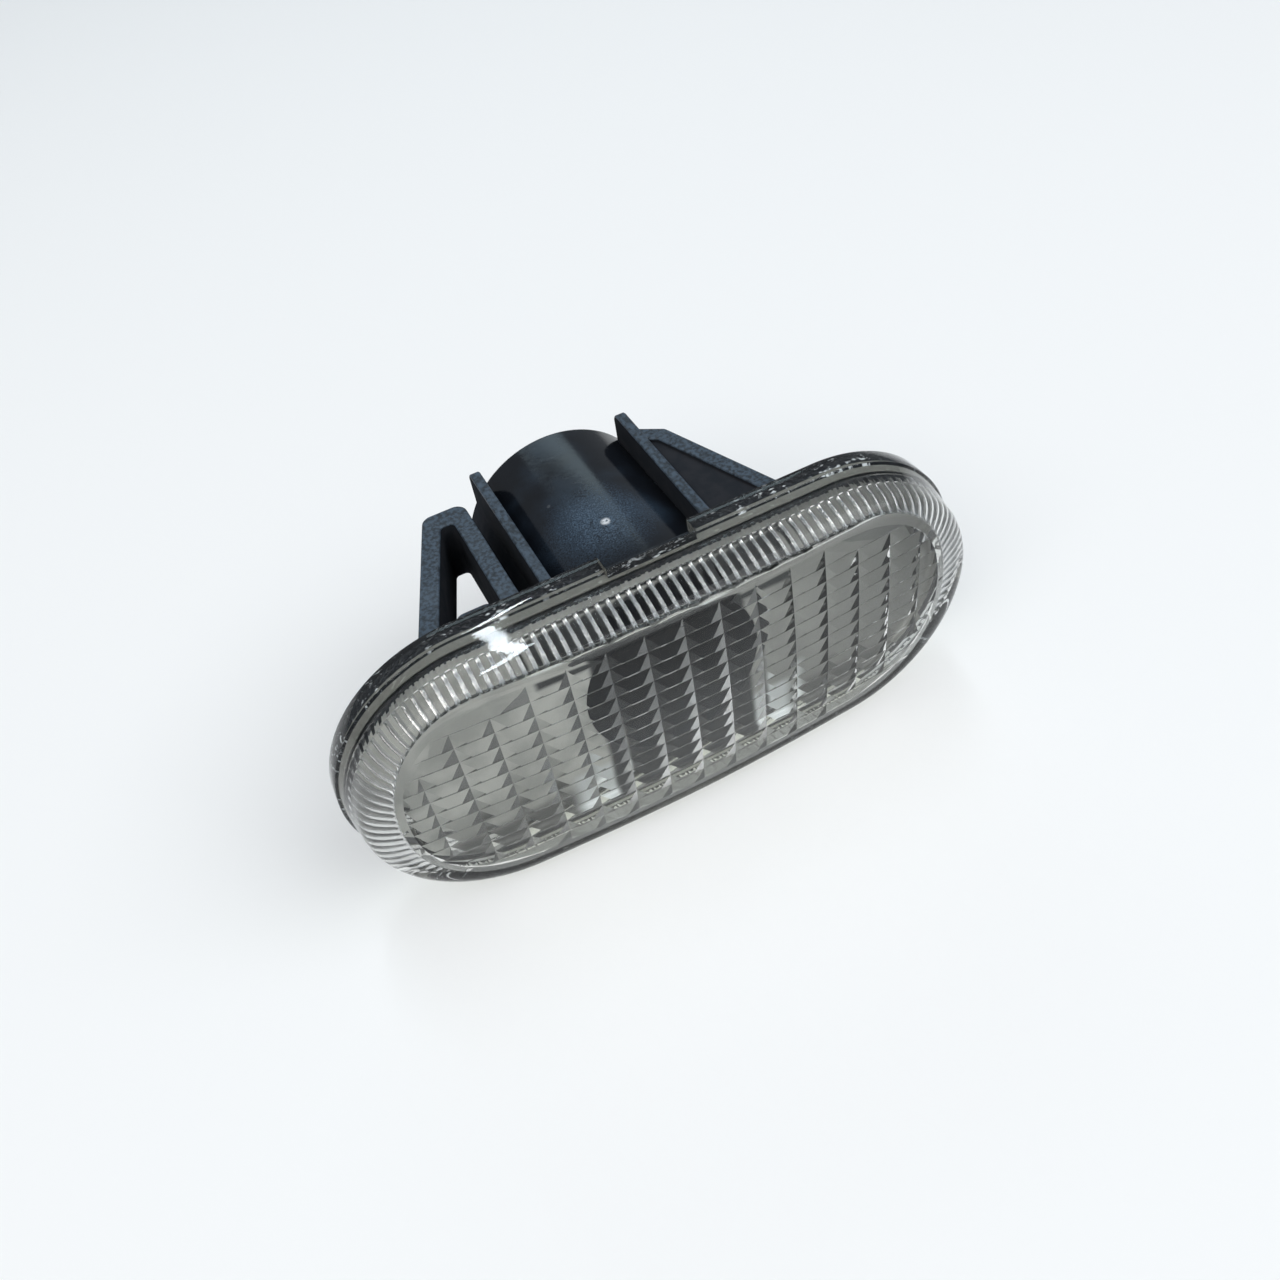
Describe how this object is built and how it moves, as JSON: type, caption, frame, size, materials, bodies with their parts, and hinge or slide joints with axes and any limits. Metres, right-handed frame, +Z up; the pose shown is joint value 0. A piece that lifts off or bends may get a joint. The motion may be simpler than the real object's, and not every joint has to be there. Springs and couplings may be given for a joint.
{
  "type": "side repeater lamp",
  "caption": "Oblong side repeater lamp: clear fluted and prismatic lens on a dark housing with a bulb barrel, guide fins, spring clips and hooks.",
  "frame": {"origin": "middle of the lamp on the body panel's face, on the barrel's axis", "axes": "+X along the lamp's length, +Y through the panel towards the bulb barrel, +Z up as fitted; the lens faces -Y"},
  "size_m": [0.104, 0.0541, 0.0472],
  "materials": {
    "clear_lens": "clear, glossy moulded plastic",
    "dark_housing": "semi-gloss black moulded plastic"
  },
  "bodies": {
    "root": {"lens": "clear_lens", "housing": "dark_housing"}
  },
  "joints": []
}
